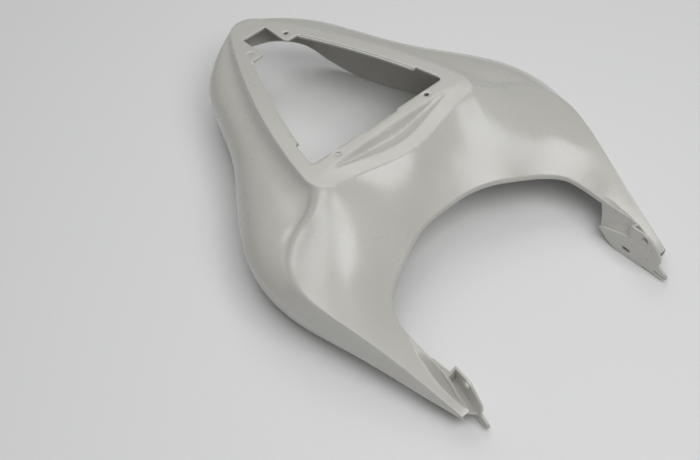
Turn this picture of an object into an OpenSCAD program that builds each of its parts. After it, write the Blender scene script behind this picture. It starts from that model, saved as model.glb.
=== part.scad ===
// Seat cowl: the one-piece moulded tail cover of a motorbike.
// +Y points to the rider's end, +X to the right and +Z up from the floor that it lies on.
// Inside this file lengths along Y are measured from the line of the two front seat bolts.

/* [Wall] */
// Thickness of the moulded wall
wall = 3; // [2.4:0.1:3.6]

/* [Rim round the seat opening] */
// Height of the rim's plane above the floor, at the front bolts
rim_height = 122; // [118:1:126]
// Angle at which the rim falls towards the tail
rim_fall = 6.5; // [5:0.5:8]
// Reach of the rim behind the front bolts
rim_reach = 301; // [297:1:306]
// Half width of the rim at its front corners
rim_half = 128; // [125:1:131]
// Half width of the rim where its nose begins
rim_nose_half = 31.5; // [29:0.5:34]
// Distance from the tip of the rim to where its nose begins
rim_nose_len = 27; // [23:1:31]
// Outward bow of the rim's long sides
rim_bow = 12; // [9:1:15]
// Reach of the rim's front edge before the front bolts, at the middle
rim_front = 54; // [51:1:56]
// Drop of the front edge's middle below the rim's plane
rim_front_drop = 10; // [7:1:13]

/* [Seat opening] */
// Width of the opening along the front bar
open_width = 210; // [204:1:214]
// Distance of the opening's front edge behind the front bolts
open_front = 7; // [6:0.5:9]
// Distance of the opening's tail edge behind the front bolts
open_tail = 264; // [260:1:267]
// Width of the narrow part of the opening at the tail
open_tail_width = 38; // [34:1:40]
// Distance of the screw tabs' inner ends behind the front bolts
tab_end = 217; // [214:1:220]
// Outward bow of the opening's long sides
open_bow = 4; // [2:0.5:6]
// Radius of the opening's front corners
open_corner_r = 6; // [4:0.5:8]
// Depth of the small steps in the opening's edge
edge_step = 3; // [2:0.5:4]
// Width of the sunk ledge along the opening's sides
ledge_width = 2.6; // [2:0.2:3.4]
// Depth of that ledge
ledge_depth = 1.2; // [0.8:0.1:1.4]

/* [Seat bolts] */
// Distance between the two front seat bolts
front_bolt_span = 144; // [138:1:150]
// Distance between the two rear seat bolts
rear_bolt_span = 60; // [58:1:62]
// Distance of the rear bolts behind the front ones
rear_bolt_back = 232; // [229:1:235]
// Diameter of the seat bolt holes
seat_bolt_hole = 6.5; // [5.5:0.1:7.5]

/* [Recess before the front bar] */
// Width of the recess
recess_width = 194; // [180:2:200]
// Length of the recess at its middle
recess_len = 24; // [20:1:27]
// Depth of the recess at the foot of its front wall
recess_depth = 9; // [6:0.5:10]
// Distance of the recess's straight rear edge before the front bolts
recess_y = 11; // [10:0.5:13]

/* [Flanks] */
// Half width of the cowl over the hips
hip_half = 234; // [230:1:238]
// Depth of the valley between the rim and the flank
valley_depth = 16; // [12:1:19]
// Width of the step down from the rim into that valley
valley_width = 13; // [11:1:16]
// Squareness of the flank's shoulder beside the rim: 2 is an ellipse and more is fuller
shoulder_power = 2.2; // [2:0.1:2.8]
// Inward tuck of the hem below the flank's widest line
hem_tuck = 13; // [9:1:16]
// Height of the hem above the floor at the hips
hip_hem = 8; // [5:1:12]
// Height of the lamp mouth in the tail above the floor
mouth_height = 50; // [44:1:56]

/* [Rider bay] */
// Half width of the bay's straight bottom
bay_flat_half = 39.5; // [36:0.5:43]
// Distance of the bay's bottom before the front bolts
bay_front = 118; // [115:1:122]
// Height of the bay's bottom edge above the floor
bay_height = 70; // [67:1:74]
// Height of the turned-down lip round the bay
bay_lip = 6; // [4:0.5:8]
// Crown of the pads on each side of the bay
pad_crown = 12; // [9:0.5:14]

/* [Leg brackets] */
// Distance of the bracket plates' inner faces from the middle of the cowl
plate_x = 143; // [141:0.5:145]
// Angle at which the plates toe out towards their tips
plate_toe = 4; // [2:1:6]
// Reach of the plates' slotted tongues before the front bolts
plate_tip = 341; // [337:1:345]
// Length of the slot in each tongue
tongue_slot_len = 14; // [10:1:16]
// Diameter of the bolt hole in each plate
leg_bolt_hole = 10; // [8:0.5:11]
// Distance of that hole before the front bolts
leg_bolt_y = 301; // [299:0.5:303]
// Height of that hole above the floor
leg_bolt_z = 49; // [47:0.5:51]
// Length of the clip slot
clip_slot_len = 12; // [9:0.5:14]
// Width of the clip slot
clip_slot_width = 6; // [5:0.5:7]
// Diameter of the small locating hole
locating_hole = 3; // [2.4:0.2:4]

/* [Hidden] */
$fn = 40;
through = 40;                    // reach of the tools that cut right through

// Rows of the surface along the rim, along the crease and across each strip
rim_rows = 30;
nose_rows = 6;
crease_rows = 26;
front_rows = 14;
step_cols = 3;
shoulder_cols = 5;
tuck_cols = 3;
pad_cols = 7;
lip_cols = 1;

// Small helpers
function mix(a, b, t) = a + (b - a) * t;
function flat(p) = [p[0], p[1], 0];
function unit(v) = v / norm(v);
function ease(t) = t * t * (3 - 2 * t);
function clamp(t) = max(0, min(1, t));
function bezier(a, b, c, t) = a * (1 - t) * (1 - t) + b * 2 * t * (1 - t) + c * t * t;

// Smooth curve through points that are evenly spaced in t, from t = 0 to 1
function knot(p, i) = i < 0 ? 2 * p[0] - p[1]
    : i > len(p) - 1 ? 2 * p[len(p) - 1] - p[len(p) - 2] : p[i];
function spline(p, t) =
    let(n = len(p) - 1, i = min(floor(t * n), n - 1), u = t * n - i,
        a = knot(p, i - 1), b = knot(p, i), c = knot(p, i + 1), d = knot(p, i + 2))
    0.5 * (2 * b + (c - a) * u + (2 * a - 5 * b + 4 * c - d) * u * u
        + (3 * b - a - 3 * c + d) * u * u * u);

// Height of the rim's plane
function plane_z(y) = rim_height + tan(rim_fall) * y;
function on_plane(p) = [p[0], p[1], plane_z(p[1])];

// Outline of the rim seen from above: nose, bowed side, rounded corner, front edge
nose_y = rim_nose_len - rim_reach;
corner_start = [rim_half - 1, 2];
corner_end = [rim_half - 14, 31];
function nose_line(t) = bezier([0, -rim_reach], [rim_nose_half * 0.64, -rim_reach],
    [rim_nose_half, nose_y], t);
function side_line(t) = mix([rim_nose_half, nose_y], corner_start, t)
    + [rim_bow * 4 * t * (1 - t), 0];
function corner_line(t) = bezier(corner_start, [rim_half + 3, 25], corner_end, t);
function front_line(t) = bezier(corner_end, [recess_width / 4, rim_front], [0, rim_front], t);

// Rows from the tip of the rim to its corner, where the crease leaves it
side_rows = rim_rows - nose_rows;
corner_rows = 3;
function rim_point(i) =
    i <= nose_rows ? on_plane(nose_line(i / nose_rows))
    : i <= rim_rows - corner_rows
        ? on_plane(side_line((i - nose_rows) / (side_rows - corner_rows)))
    : on_plane(corner_line((i - rim_rows + corner_rows) / (2 * corner_rows)));

// Rows from the corner to the middle of the front edge, which drops below the plane
function front_point(j) =
    let(p = j <= corner_rows ? corner_line((corner_rows + j) / (2 * corner_rows))
        : front_line((j - corner_rows) / (front_rows - corner_rows)),
        away = max(0, 1 - pow(p[0] / corner_end[0], 2)))
    on_plane(p) - [0, 0, rim_front_drop * away];

// Crease from the rim's corner over the hip to the tip of the leg
crease_knots = [
    on_plane(corner_line(0.5)), [147, 39, 117], [170, 43, 106], [192, 52, 98], [210, 72, 90],
    [217, 102, 86], [213, 134, 81], [204, 166, 75], [194, 202, 65], [184, 240, 53],
    [175, 279, 40], [167, 318, 27]];
function crease_point(k) = spline(crease_knots, k / crease_rows);

// Top edge of the flank, from the tail to the tip of the leg
side_total = rim_rows + crease_rows;
function top_point(i) = i <= rim_rows ? rim_point(i) : crease_point(i - rim_rows);

// Widest line of the flank
wide_tail = [[0, -rim_reach - 2.5, 77], [44, -287, 68], [80, -261, 64], [103, -230, 62],
    [120, -188, 63], [137, -144, 65], [158, -103, 65], [183, -66, 65], [206, -30, 65],
    [223, 2, 65]];
wide_leg = [[223, 2, 65], [231, 30, 66], [hip_half, 58, 66], [hip_half - 1.5, 88, 63],
    [227, 118, 58], [217, 152, 51], [206, 189, 44], [194, 230, 36], [182, 273, 29], [168, 318, 22]];
function wide_point(i) = i <= rim_rows ? spline(wide_tail, i / rim_rows)
    : spline(wide_leg, (i - rim_rows) / crease_rows);

// Hem: height above the floor, and tuck inwards from the widest line
hem_tail_z = [mouth_height, mouth_height - 2, mouth_height - 14, 12, 1, 0, 0, 1, 3, 5];
hem_leg_z = [5, 7, hip_hem, hip_hem + 1, hip_hem + 3, hip_hem + 6, 18, 19, 18, 15];
hem_tail_in = [16, 16, 15, hem_tuck, hem_tuck, hem_tuck, hem_tuck, hem_tuck, hem_tuck, hem_tuck];
hem_leg_in = [hem_tuck, hem_tuck, hem_tuck, hem_tuck, hem_tuck, hem_tuck - 2, hem_tuck - 4,
    hem_tuck - 6, hem_tuck - 8, 3];
function hem_z(i) = i <= rim_rows ? max(0, spline(hem_tail_z, i / rim_rows))
    : spline(hem_leg_z, (i - rim_rows) / crease_rows);
function hem_in(i) = i <= rim_rows ? spline(hem_tail_in, i / rim_rows)
    : spline(hem_leg_in, (i - rim_rows) / crease_rows);
// Level direction that points out of the flank
function out_dir(i) = i == 0 ? [0, -1, 0]
    : let(d = flat(wide_point(min(i + 1, side_total)) - wide_point(i - 1)))
      unit([d[1], -d[0], 0]);
function hem_point(i) =
    let(w = wide_point(i), h = flat(w) - hem_in(i) * out_dir(i))
    [i == 0 ? 0 : h[0], h[1], hem_z(i)];

// Depth and width of the step below the rim, which runs out along the crease
valley_rim = [1, 4, 8, 11, 13, 15, valley_depth, valley_depth, valley_depth, valley_depth];
valley_leg = [valley_depth, 11, 6, 3, 1.5, 0.8, 0.4, 0.2, 0.2, 0.2];
function drop(i) = i <= rim_rows ? min(valley_depth, spline(valley_rim, i / rim_rows))
    : spline(valley_leg, (i - rim_rows) / crease_rows);
step_rim = [3, 6, 9, 11, 12, valley_width, valley_width, valley_width, valley_width, valley_width];
step_leg = [valley_width, 11.5, 9, 6, 4, 2.5, 2, 1.5, 1.5, 1.5];
function step(i) = i <= rim_rows ? spline(step_rim, i / rim_rows)
    : spline(step_leg, (i - rim_rows) / crease_rows);
// The step starts steeply at the top edge and ends level
step_power = 2.3;
// The shoulder is full beside the rim and gets flatter along the leg
shoulder_leg = [shoulder_power, 1.85, 1.65, 1.5, 1.42, 1.36, 1.33, 1.3, 1.3, 1.3];
function shoulder(i) = i <= rim_rows ? shoulder_power
    : spline(shoulder_leg, (i - rim_rows) / crease_rows);

// Direction from the top edge towards the widest line
function step_dir(i) = i == 0 ? [0, -1, 0] : unit(flat(wide_point(i) - top_point(i)));

// How far each line of the inner face lies inside the outer one
function top_in(i) = i <= rim_rows ? wall * (-0.9 * step_dir(i) - [0, 0, 1])
    : wall * (-0.55 * step_dir(i) - [0, 0, 1]);
function fix_mid(p, i) = i == 0 ? [0, p[1], p[2]] : p;

// One row of the flank from the top edge to the hem; side is 0 outside and 1 inside
function flank_row(i, side) =
    let(top = top_point(i) + side * top_in(i),
        valley = top_point(i) + step(i) * step_dir(i) - [0, 0, drop(i)]
            + side * wall * [0, 0, -1] - side * wall * 0.25 * step_dir(i),
        wide = wide_point(i) - side * wall * out_dir(i),
        hem = hem_point(i) - side * wall * out_dir(i))
    [for (c = [0 : step_cols + shoulder_cols + tuck_cols])
        fix_mid(c <= step_cols
            ? let(u = pow(c / step_cols, 1.5)) [mix(top[0], valley[0], u),
                mix(top[1], valley[1], u), mix(valley[2], top[2], pow(1 - u, step_power))]
        : c <= step_cols + shoulder_cols
            ? let(a = 90 * (c - step_cols) / shoulder_cols,
                across = pow(sin(a), 2 / shoulder(i)), up = pow(cos(a), 2 / shoulder(i)))
                [mix(valley[0], wide[0], across), mix(valley[1], wide[1], across),
                    mix(wide[2], valley[2], up)]
        : let(a = 60 * (c - step_cols - shoulder_cols) / tuck_cols,
            across = (1 - cos(a)) / (1 - cos(60)), down = sin(a) / sin(60))
            [mix(wide[0], hem[0], across), mix(wide[1], hem[1], across),
                mix(wide[2], hem[2], down)], i)];

// Edge of the rider bay, from its middle to the tip of the leg
bay_knots = [
    [0, bay_front - 1, bay_height], [bay_flat_half * 0.6, bay_front - 0.5, bay_height],
    [bay_flat_half + 5, bay_front + 3, bay_height], [66, 129, 70.5], [86, 138, 67.5],
    [106, 147, 63.5], [124, 157, 60], [137, 168, 58.2], [145, 181, 57], [150, 199, 54],
    [152, 220, 52.8], [153, 244, 53.5], [154.5, 266, 55], [155.8, 283, 52.5], [156.6, 300, 40],
    [157.6, 317.8, 27]];
pad_total = front_rows + crease_rows;
function bay_point(k) = spline(bay_knots, k / pad_total);

// Upper edge of the pad, from the middle of the rim's front edge to the tip of the leg
function pad_top(k) = k <= front_rows ? front_point(front_rows - k) : crease_point(k - front_rows);
function pad_top_in(k) = k <= front_rows
    ? let(i = rim_rows, t = k / front_rows) mix(wall * [0, -0.35, -1], top_in(i), ease(t))
    : top_in(rim_rows + k - front_rows);
// Crown of the pad: hollow in the middle and full beside it. The lean moves it to the top edge.
crown_knots = [-0.27, 0.06, 0.29, 0.38, 0.78, 0.81, 1, 0.9, 0.42, 0, 0, 0, 0];
lean_knots = [0.2, 0.09, -0.08, 0.01, 0.12, 0.03, 0.23, 0.13, 0.39, 0.3, 0, 0, 0];
function crown(k, u) = let(t = k / pad_total) pad_crown * 4 * u * (1 - u)
    * (spline(crown_knots, t) + spline(lean_knots, t) * (1 - 2 * u));
function bay_dir(k) = k == 0 ? [0, 1, 0]
    : let(d = flat(bay_point(min(k + 1, pad_total)) - bay_point(k - 1))) unit([-d[1], d[0], 0]);

// The lip is lower towards the tip of the leg
tip_rows = 6;
tip_lip = 5;
function lip_height(k) = k > pad_total - 2 ? wall + 0.01 : k > pad_total - tip_rows ? tip_lip : bay_lip;

// Along the leg the bay's edge stands up as a flange above the top face. This is its foot.
flange_start = 26;
flange_knots = [[152.8, 213, 53.8], [157.6, 223.5, 53.2], [161.8, 236, 50.8], [163.2, 250, 47],
    [165, 263, 43.3], [165.2, 278, 38.6], [163, 297, 32.5], [160.5, 318, 27]];
flange_cols = 2;
flange_power = 1.5;
function has_flange(k) = ease(clamp((k - flange_start + 1.5) / 2.5));
function flange_foot(k) = spline(flange_knots, clamp((k - flange_start) / (pad_total - flange_start)));
// How much the flange stands up, from 0 where it is flat to 1 where it is steep
function flange_rise(k) = has_flange(k) * clamp((bay_point(k)[2] - flange_foot(k)[2]) / 10);

function pad_row(k, side) =
    let(up = flange_rise(k), lip = lip_height(k), face_cols = pad_cols - flange_cols,
        top = pad_top(k) + side * pad_top_in(k),
        foot = flange_foot(k) + side * wall * [-0.6 * up, 0, -1],
        edge = bay_point(k) + side * mix(wall * ([0, 0, -1] - bay_dir(k)), [0.6, 0, 0.6 - lip], up),
        low = bay_point(k) - [0, 0, lip] + side * mix(-wall * bay_dir(k), [1.6, 0, -0.8], up))
    [for (c = [0 : pad_cols + lip_cols])
        let(u = c / pad_cols, s = (c - face_cols) / flange_cols,
            plain = mix(top, edge, u) + [0, 0, crown(k, min(u, 1))],
            flanged = c <= face_cols ? mix(top, foot, c / face_cols)
                : [mix(foot[0], edge[0], s), mix(foot[1], edge[1], s),
                    mix(foot[2], edge[2], pow(s, flange_power))],
            p = c > pad_cols ? low : mix(plain, flanged, has_flange(k)))
        k == 0 ? [0, p[1], p[2]] : p];

// Flat border of the rim. Its inner edge is waste that the opening's cut removes.
waste = 8;
border_rows = rim_rows + front_rows;
function inner_point(i) =
    i <= nose_rows ? on_plane([mix(0, open_tail_width / 2 - waste, i / nose_rows), waste - open_tail])
    : i <= rim_rows ? let(t = (i - nose_rows) / side_rows)
        on_plane([mix(open_tail_width / 2 - waste, open_width / 2 - waste, t),
            mix(waste - open_tail, -open_front - waste, t)])
    : let(t = (i - rim_rows) / front_rows)
        on_plane([mix(open_width / 2 - waste, 0, t), -open_front - waste]);
function ridge_point(i) =
    i <= rim_rows ? mix(inner_point(i), rim_point(i), 0.7)
    : let(t = (i - rim_rows) / front_rows, e = front_point(i - rim_rows),
        c = mix(inner_point(rim_rows), rim_point(rim_rows), 0.7))
      on_plane([mix(c[0], 0, t), mix(c[1], recess_y, min(1, 3 * t))]);
function outer_point(i) = i <= rim_rows ? rim_point(i) : front_point(i - rim_rows);
function outer_in(i) = i <= rim_rows ? top_in(i) : pad_top_in(front_rows + rim_rows - i);
// Recess before the front bar: its straight rear edge is the ridge, its floor falls
// from there to the foot of a sloped front wall, and both run out at the sides.
recess_half = recess_width / 2;
foot_share = 0.36;               // part of the recess's length that its falling floor takes
function recess_run(i) = i <= rim_rows ? 0
    : pow(max(0, 1 - abs(ridge_point(i)[0]) / recess_half), 0.8);
function recess_edge(i) =
    let(a = ridge_point(i), b = outer_point(i), run = recess_run(i), y = recess_len * run)
    run == 0 ? mix(a, b, 0.3) : mix(a, b, max(0.06, y / (b[1] - a[1])));
function recess_foot(i) =
    let(a = ridge_point(i), e = recess_edge(i), run = recess_run(i))
    run == 0 ? mix(a, e, 0.6) : mix(a, e, foot_share) - [0, 0, recess_depth * pow(run, 0.7)];
function border_row(i, side) =
    let(down = side * wall * [0, 0, 1], ahead = side * wall * [0, 0.7, 0] * recess_run(i))
    [for (p = [inner_point(i) - down, ridge_point(i) - down, recess_foot(i) - down + ahead,
        recess_edge(i) - down + ahead, outer_point(i) + side * outer_in(i)])
        i == 0 || i == border_rows ? [0, p[1], p[2]] : p];

// A grid of points as a strip of triangles, and the wall along an open edge
function strip(rows, cols, base, turned) = [
    for (i = [0 : rows - 1], j = [0 : cols - 1])
        let(a = base + i * (cols + 1) + j, b = a + 1, c = a + cols + 1, d = c + 1)
        each (turned ? [[a, b, d], [a, d, c]] : [[a, d, b], [a, c, d]])];
function band(pts, turned) = [for (p = pts) let(a = p[0], b = p[1], c = p[2], d = p[3])
    each (turned ? [[a, b, d], [a, d, c]] : [[a, d, b], [a, c, d]])];

flank_cols = step_cols + shoulder_cols + tuck_cols;
pad_width = pad_cols + lip_cols;
border_cols = 4;

flank_out = [for (i = [0 : side_total]) each flank_row(i, 0)];
flank_inn = [for (i = [0 : side_total]) each flank_row(i, 1)];
pad_out = [for (k = [0 : pad_total]) each pad_row(k, 0)];
pad_inn = [for (k = [0 : pad_total]) each pad_row(k, 1)];
border_out = [for (i = [0 : border_rows]) each border_row(i, 0)];
border_inn = [for (i = [0 : border_rows]) each border_row(i, 1)];

at_flank_in = len(flank_out);
at_pad = at_flank_in + len(flank_inn);
at_pad_in = at_pad + len(pad_out);
at_border = at_pad_in + len(pad_inn);
at_border_in = at_border + len(border_out);

half_points = concat(flank_out, flank_inn, pad_out, pad_inn, border_out, border_inn);
half_faces = concat(
    strip(side_total, flank_cols, 0, false),
    strip(side_total, flank_cols, at_flank_in, true),
    strip(pad_total, pad_width, at_pad, true),
    strip(pad_total, pad_width, at_pad_in, false),
    strip(border_rows, border_cols, at_border, false),
    strip(border_rows, border_cols, at_border_in, true),
    // hem
    band([for (i = [0 : side_total - 1])
        let(a = i * (flank_cols + 1) + flank_cols, b = a + flank_cols + 1)
        [a, a + at_flank_in, b, b + at_flank_in]], false),
    // tip of the leg, on the flank
    band([for (j = [0 : flank_cols - 1]) let(a = side_total * (flank_cols + 1) + j)
        [a, a + 1, a + at_flank_in, a + 1 + at_flank_in]], false),
    // lip of the bay
    band([for (k = [0 : pad_total - 1])
        let(a = at_pad + k * (pad_width + 1) + pad_width, b = a + pad_width + 1,
            s = at_pad_in - at_pad)
        [a, a + s, b, b + s]], true),
    // tip of the leg, on the pad
    band([for (j = [0 : pad_width - 1]) let(a = at_pad + pad_total * (pad_width + 1) + j,
        s = at_pad_in - at_pad)
        [a, a + 1, a + s, a + 1 + s]], true),
    // waste edge of the opening
    band([for (i = [0 : border_rows - 1])
        let(a = at_border + i * (border_cols + 1), b = a + border_cols + 1,
            s = at_border_in - at_border)
        [a, a + s, b, b + s]], true));

function mirrored(p) = [for (q = p) [-q[0], q[1], q[2]]];
function reversed(faces, base) = [for (f = faces) [base + f[2], base + f[1], base + f[0]]];
n_half = len(half_points);

module skin() {
    polyhedron(concat(half_points, mirrored(half_points)),
        concat(half_faces, reversed(half_faces, n_half)));
}

// Outline of the seat opening, seen from above, one half from the tail to the front bar
open_half = open_width / 2;
side_end = [open_half - 12, -50];
tab_reach = 18;
side_start = [open_tail_width / 2 + tab_reach, -tab_end];
function arc(c, r, from, to) = [for (k = [0 : 6]) let(a = mix(from, to, k / 6))
    c + r * [cos(a), sin(a)]];
tab_r = 6;
opening_half = concat(
    [[0, -open_tail], [open_tail_width / 2, -open_tail]],
    arc([open_tail_width / 2 + tab_r, -tab_end - tab_r], tab_r, 180, 90),
    [for (k = [0 : 10]) let(t = k / 10) mix(side_start, side_end, t)
        + [open_bow * 4 * t * (1 - t), 0]],
    [side_end + [edge_step * 1.8, 1.5]],
    arc([open_half - open_corner_r, -open_front - open_corner_r], open_corner_r, 0, 90),
    [[rear_bolt_span / 2 - 1, -open_front], [rear_bolt_span / 2 - 3, -open_front + edge_step],
        [0, -open_front + edge_step]]);
module mirror_pair() { children(); mirror([1, 0, 0]) children(); }
module opening_outline() { mirror_pair() polygon(opening_half); }

// The ledge is sunk along the sides of the opening, between the tabs and the steps
module ledge_outline() {
    mirror_pair() polygon(concat(
        [for (k = [0 : 10]) let(t = k / 10) mix(side_start + [0, 2], side_end, t)
            + [open_bow * 4 * t * (1 - t) + ledge_width, 0]],
        [for (k = [10 : -1 : 0]) let(t = k / 10) mix(side_start + [0, 2], side_end, t)
            + [open_bow * 4 * t * (1 - t) - 1, 0]]));
}

// A flat tool that lies in the rim's plane, sunk into it by the given depth
module in_rim_plane(sink) {
    multmatrix([[1, 0, 0, 0], [0, 1, 0, 0], [0, tan(rim_fall), 1, rim_height - sink], [0, 0, 0, 1]])
        children();
}

module opening_cut() {
    translate([0, 0, rim_height - through * 1.6]) linear_extrude(through * 2) opening_outline();
}

module seat_bolt_holes() {
    for (x = [-1, 1]) {
        translate([x * front_bolt_span / 2, 0, rim_height - through / 2])
            cylinder(d = seat_bolt_hole, h = through);
        translate([x * rear_bolt_span / 2, -rear_bolt_back, plane_z(-rear_bolt_back) - through / 2])
            cylinder(d = seat_bolt_hole, h = through);
    }
}

// Bracket plate on the inner side of each leg: outline seen from the side. Its back end
// meets the sloped band, its foot lies flat on the floor and its front end is a slotted tongue.
pad_back = leg_bolt_y - 19;
plate_outline = [
    [238, 22], [251, 8], [262, 2], [268, 0], [294, 0], [310, 3], [plate_tip - 12, 1.5],
    [plate_tip - 4, 3], [plate_tip, 7.5], [plate_tip - 1, 12], [plate_tip - 6, 15],
    [plate_tip - 15, 20], [plate_tip - 13, 28], [plate_tip - 14, 36], [plate_tip - 19, 42],
    [leg_bolt_y + 10, leg_bolt_z + 4], [leg_bolt_y + 5, leg_bolt_z + 8],
    [leg_bolt_y - 2, leg_bolt_z + 10], [pad_back, leg_bolt_z + 10],
    [pad_back, 38], [242, 25]];
module along_x() { rotate([90, 0, 90]) children(); }
module slot(length, width) {
    for (s = [-1, 1]) translate([s * (length - width) / 2, 0]) circle(d = width);
    square([length - width, width], center = true);
}
module plate() {
    translate([plate_x, pad_back, 0]) rotate([0, 0, -plate_toe]) along_x()
        translate([-pad_back, 0]) linear_extrude(wall) difference() {
            polygon(plate_outline);
            translate([leg_bolt_y - 21, 13]) slot(clip_slot_len, clip_slot_width);
            translate([leg_bolt_y + 10, 21]) circle(d = locating_hole);
            translate([leg_bolt_y, leg_bolt_z]) circle(d = leg_bolt_hole);
            translate([plate_tip - 12, 8.5]) rotate(-4) slot(tongue_slot_len, 4.5);
        }
}
// A flat sheet between four corners, thickened by a vector
module sheet(a, b, c, d, thick) {
    polyhedron([a, b, c, d, a + thick, b + thick, c + thick, d + thick],
        [[0, 2, 1], [0, 3, 2], [4, 5, 6], [4, 6, 7],
         [0, 5, 4], [0, 1, 5], [1, 6, 5], [1, 2, 6], [2, 7, 6], [2, 3, 7], [3, 4, 7], [3, 0, 4]]);
}
// Sloped band that joins the bay's edge to the plate, and the floor of the bolt's pocket that goes on from it
sheet_foot_x = plate_x + 0.4;
function toed_x(y) = sheet_foot_x + (y - pad_back) * tan(plate_toe);
band_back_y = 226;
band_back_x = 152;
band_front_x = 155.5;
band_top_z = 51;
band_back_foot_z = 22;
band_front_foot_z = 37;
pocket_back_y = 277.3;
pocket_end_y = 316.1;
pocket_foot_y = 324;
pocket_back_x = 158.3;
pocket_end_x = 158.7;
pocket_back_z = 45.2;
pocket_end_z = 25.1;
pocket_foot_z = 17.3;
pocket_inner_z = 35.4;
module band_sheet() {
    sheet([band_back_x, band_back_y, band_top_z], [band_front_x, pad_back, band_top_z],
        [sheet_foot_x, pad_back, band_front_foot_z],
        [sheet_foot_x, band_back_y + 12, band_back_foot_z], [wall / 2, 0, -wall]);
}
module pocket_floor() {
    sheet([pocket_back_x, pocket_back_y, pocket_back_z], [pocket_end_x, pocket_end_y, pocket_end_z],
        [toed_x(pocket_foot_y), pocket_foot_y, pocket_foot_z],
        [plate_x + 0.9, pocket_back_y, pocket_inner_z], [0, 0, -wall]);
}

front_end = pad_back + (plate_tip - pad_back) * cos(plate_toe);
mid_y = (front_end - rim_reach - 3) / 2;

module seat_cowl() {
    color("whitesmoke") translate([0, -mid_y, 0]) difference() {
        union() {
            skin();
            mirror_pair() { plate(); band_sheet(); pocket_floor(); }
        }
        opening_cut();
        in_rim_plane(ledge_depth) linear_extrude(through) ledge_outline();
        seat_bolt_holes();
    }
}

seat_cowl();
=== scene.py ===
# %% [markdown]
# A moulded seat cowl
#
# The tail cover of a motorbike is one injection-moulded shell. It is a sheet about 3 mm thick
# that bends round a seat opening, swells over the hips and ends in two legs with brackets.
# This lesson loads the solid as a fixed frame, draws the same shell again as a fine surface, gives
# it the satin look of unpainted plastic and lights it like a product photograph.

# %% Load the frame and note its size
import math

import bmesh
import bpy
import numpy as np
from mathutils import Matrix, Vector
from mathutils.geometry import delaunay_2d_cdt


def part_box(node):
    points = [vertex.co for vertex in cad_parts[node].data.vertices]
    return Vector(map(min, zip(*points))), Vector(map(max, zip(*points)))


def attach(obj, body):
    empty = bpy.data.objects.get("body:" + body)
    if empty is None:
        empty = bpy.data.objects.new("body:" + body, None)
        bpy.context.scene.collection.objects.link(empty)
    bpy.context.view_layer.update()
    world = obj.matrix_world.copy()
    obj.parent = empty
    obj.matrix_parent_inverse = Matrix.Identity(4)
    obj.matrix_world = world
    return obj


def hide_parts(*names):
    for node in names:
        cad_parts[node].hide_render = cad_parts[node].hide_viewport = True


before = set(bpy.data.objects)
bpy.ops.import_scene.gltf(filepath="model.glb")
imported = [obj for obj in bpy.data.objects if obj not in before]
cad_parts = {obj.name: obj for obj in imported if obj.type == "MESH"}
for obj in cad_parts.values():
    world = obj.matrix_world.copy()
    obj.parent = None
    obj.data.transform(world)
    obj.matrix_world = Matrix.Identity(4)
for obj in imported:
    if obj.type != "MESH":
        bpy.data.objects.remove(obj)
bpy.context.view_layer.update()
MM = 0.001
cad_low, cad_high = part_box("seat_cowl")
print("CAD box in mm:", [round(v / MM, 1) for v in cad_low], [round(v / MM, 1) for v in cad_high])

# %% [markdown]
# Curves that the shell hangs on
#
# A free-form moulding is easiest to control through a few curves: the rim round the opening,
# the crease that runs over the hip, the widest line of the flank, its hem and the edge of the
# rider's bay. Each one is a smooth spline through a handful of points in millimetres, with Y
# measured from the front seat bolts. Everything else is stretched between these curves.

# %% Splines and the plane of the rim
WALL = 3.0
RIM_HEIGHT = 122.0
RIM_FALL = math.tan(math.radians(6.5))
RIM_REACH = 301.0


def mix(a, b, t):
    """Straight blend from a to b: a + (b - a) t."""
    return a + (b - a) * t


def ease(t):
    """Smooth step from 0 to 1: 3 t^2 - 2 t^3, flat at both ends."""
    t = np.clip(t, 0, 1)
    return t * t * (3 - 2 * t)


def column(values):
    """A list of numbers as a column, so that it multiplies rows of points."""
    return np.asarray(values, float)[..., None]


def spline(knots, t):
    """Catmull-Rom curve through evenly spaced knots, for t from 0 to 1.
    Between knots b and c with neighbours a and d it is
    (2b + (c-a)u + (2a-5b+4c-d)u^2 + (3b-a-3c+d)u^3) / 2."""
    p = np.asarray(knots, float)
    flat = p.ndim == 1
    p = p[:, None] if flat else p
    p = np.vstack([2 * p[0] - p[1], p, 2 * p[-1] - p[-2]])
    last = len(p) - 3
    x = np.asarray(t, float) * last
    i = np.clip(np.floor(x).astype(int), 0, last - 1)
    u = (x - i)[..., None]
    a, b, c, d = p[i], p[i + 1], p[i + 2], p[i + 3]
    out = 0.5 * (2 * b + (c - a) * u + (2 * a - 5 * b + 4 * c - d) * u * u
                 + (3 * b - a - 3 * c + d) * u ** 3)
    return out[..., 0] if flat else out


def bezier(a, b, c, t):
    """Quadratic curve a (1-t)^2 + 2 b t (1-t) + c t^2."""
    t = column(t)
    return np.asarray(a) * (1 - t) ** 2 + np.asarray(b) * 2 * t * (1 - t) + np.asarray(c) * t * t


def unit(v):
    """Each row of v made one long."""
    return v / np.maximum(np.linalg.norm(v, axis=-1, keepdims=True), 1e-9)


def plane_z(y):
    """Height of the rim's plane: it falls by the tangent of 6.5 degrees towards the tail."""
    return RIM_HEIGHT + RIM_FALL * y


def lifted(p, below=0.0):
    """Points seen from above, put on the rim's plane or a little below it."""
    return np.concatenate([p, column(plane_z(p[..., 1]) - below)], axis=-1)


print("height of the rim's plane at the front bolts:", plane_z(0), "mm")

# %% [markdown]
# The rim
#
# Seen from above the rim is a long triangle: a blunt nose at the tail, two sides that bow
# outwards, round corners, and a front edge that runs back in the middle. Its front edge also
# drops about a centimetre below the plane of the rest, because the rider's seat back starts there.

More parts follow.
